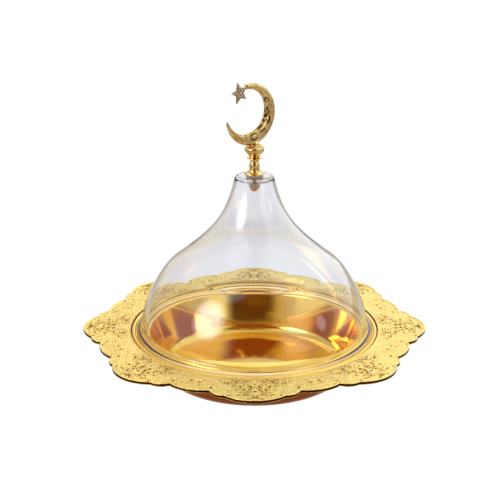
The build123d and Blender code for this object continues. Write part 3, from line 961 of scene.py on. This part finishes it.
studio = {
    "floorHalf": 8000.0, "paper": "#F4F4F4", "paperRoughness": 0.9, "floorGlow": 0.94, "backdrop": 1.06,
    # painted reflection: what the gold mirrors of the floor, from the plate outwards, greyer and warmer than
    # the white paper
    "paintedFloorReflection": [(0.0, "#CFCBC6"), (0.45, "#CFCBC6"), (0.7, "#B3A79B"), (1.0, "#C4BCB3")],
    # the room that the gold mirrors: its left and right, and how softly they meet
    "farLeft": (0.84, 0.74, 0.62), "farRight": (1.22, 1.26, 1.26), "turnover": 0.35,
    # patches in it: angle beside and above the camera, inner and outer half width in degrees, colour
    "patches": [
        (3, 4, 20, 34, (0.06, 0.036, 0.022)),  # dark room behind the camera
        (0, 46, 20, 40, (0.36, 0.1, 0.012)),  # warm room over it
        (180, 32, 6, 12, (1.75, 1.85, 2.0)),  # glow behind the plate
        (-72, 8, 10, 26, (1.15, 1.12, 1.08)),  # strip on the left: low, middle and high
        (-66, 36, 9, 22, (1.15, 1.08, 0.98)),
        (-58, 62, 8, 22, (1.3, 1.28, 1.25)),
        (76, 10, 10, 28, (0.72, 0.66, 0.56)),  # strip on the right
        (-54, 28, 2, 20, (8.0, 7.9, 7.8)),  # lamp on the left
        (76, 17, 2, 7, (2.6, 2.5, 2.4)),  # lamp on the right
    ],
    "bounces": {"max_bounces": 24, "glossy_bounces": 12, "transmission_bounces": 16}}

azimuth = math.radians(view["azimuth"])
rightWay = Vector((math.cos(azimuth), math.sin(azimuth), 0))
awayWay = Vector((-math.sin(azimuth), math.cos(azimuth), 0))


def makeCamera():
    e = math.radians(view["elevation"])
    back = Vector((0, 0, math.sin(e))) - awayWay * math.cos(e)
    target = rightWay * view["sideways"] + Vector((0, 0, view["targetHeight"] + seatZ))
    data = bpy.data.cameras.new("camera")
    cam = newObject("camera", data)
    cam.location = (target + back * view["distance"]) * mm
    cam.rotation_euler = back.to_track_quat("Z", "Y").to_euler()
    data.lens = view["focalPixels"] / view["framePixels"] * data.sensor_width
    data.clip_end = 30  # metres
    bpy.context.scene.camera = cam


# White paper for the eye and through the dome; where the gold mirrors it, a painted reflection, greyer and
# warmer
def makeFloor():
    half = studio["floorHalf"] * mm
    mesh = bpy.data.meshes.new("floor")
    corners = [(-half, -half, 0), (half, -half, 0), (half, half, 0), (-half, half, 0)]
    mesh.from_pydata(corners, [], [(0, 1, 2, 3)])
    mat, tree, sockets, place = newMaterial("whitePaper", {"Base Color": linear(studio["paper"]),
                                                           "Roughness": studio["paperRoughness"]})
    glow = addNode(tree, "ShaderNodeEmission", inputs={"Strength": studio["backdrop"], "Color": (1, 1, 1, 1)})
    paper = addNode(tree, "ShaderNodeMixShader", inputs={0: studio["floorGlow"]},
                    links={1: tree.nodes["Principled BSDF"].outputs[0], 2: glow.outputs[0]})
    away = addNode(tree, "ShaderNodeVectorMath", {"operation": "LENGTH"}, links={0: place})
    ramp = addNode(tree, "ShaderNodeValToRGB", links={"Fac": away.outputs["Value"]},
                   stops=studio["paintedFloorReflection"])
    # painted reflection for rays that the gold mirrors
    paintedReflection = addNode(tree, "ShaderNodeEmission", links={"Color": ramp.outputs["Color"]})
    path = addNode(tree, "ShaderNodeLightPath")
    addNode(tree, "ShaderNodeMixShader", into={0: tree.nodes["Material Output"].inputs["Surface"]},
            links={0: path.outputs["Glossy Depth"], 1: paper.outputs[0], 2: paintedReflection.outputs[0]})
    mat.cycles.emission_sampling = "NONE"
    mesh.materials.append(mat)
    newObject("floor", mesh)


# Direction at an angle beside and above the camera, seen from the plate
def wayTo(side, height):
    s, h = math.radians(side), math.radians(height)
    return (rightWay * math.sin(s) - awayWay * math.cos(s)) * math.cos(h) + Vector((0, 0, math.sin(h)))


# White for the eye and through the dome, and the room with its patches for what the gold mirrors
def makeWorld():
    world = bpy.data.worlds.new("studio")
    bpy.context.scene.world = world
    world.use_nodes = True
    world.cycles.sampling_method = "NONE"
    tree = world.node_tree
    tree.nodes.clear()
    place = addNode(tree, "ShaderNodeTexCoord").outputs["Generated"]
    layers = [(rightWay, -studio["turnover"], studio["turnover"], studio["farRight"])]
    for side, height, inner, outer, color in studio["patches"]:
        low, high = math.cos(math.radians(outer)), math.cos(math.radians(inner))
        layers.append((wayTo(side, height), low, high, color))
    under = {}
    for way, low, high, color in layers:
        along = addNode(tree, "ShaderNodeVectorMath", {"operation": "DOT_PRODUCT"}, {1: way}, {0: place})
        fade = addNode(tree, "ShaderNodeMapRange", {"interpolation_type": "SMOOTHSTEP"},
                       {"From Min": low, "From Max": high}, {"Value": along.outputs["Value"]})
        mix = addNode(tree, "ShaderNodeMix", {"data_type": "RGBA"},
                      {"A": (*studio["farLeft"], 1), "B": (*color, 1)},
                      {"Factor": fade.outputs["Result"], **under})
        under = {"A": mix.outputs["Result"]}
    room = addNode(tree, "ShaderNodeBackground", links={"Color": under["A"]})
    white = addNode(tree, "ShaderNodeBackground",
                    inputs={"Color": (1, 1, 1, 1), "Strength": studio["backdrop"]})
    path = addNode(tree, "ShaderNodeLightPath")
    mix = addNode(tree, "ShaderNodeMixShader",
                  links={0: path.outputs["Glossy Depth"], 1: white.outputs[0], 2: room.outputs[0]})
    addNode(tree, "ShaderNodeOutputWorld", links={"Surface": mix.outputs[0]})


makeCamera()
makeFloor()
makeWorld()
bpy.context.scene.view_settings.view_transform = "Standard"
for name, value in studio["bounces"].items():
    setattr(bpy.context.scene.cycles, name, value)
say("studio")
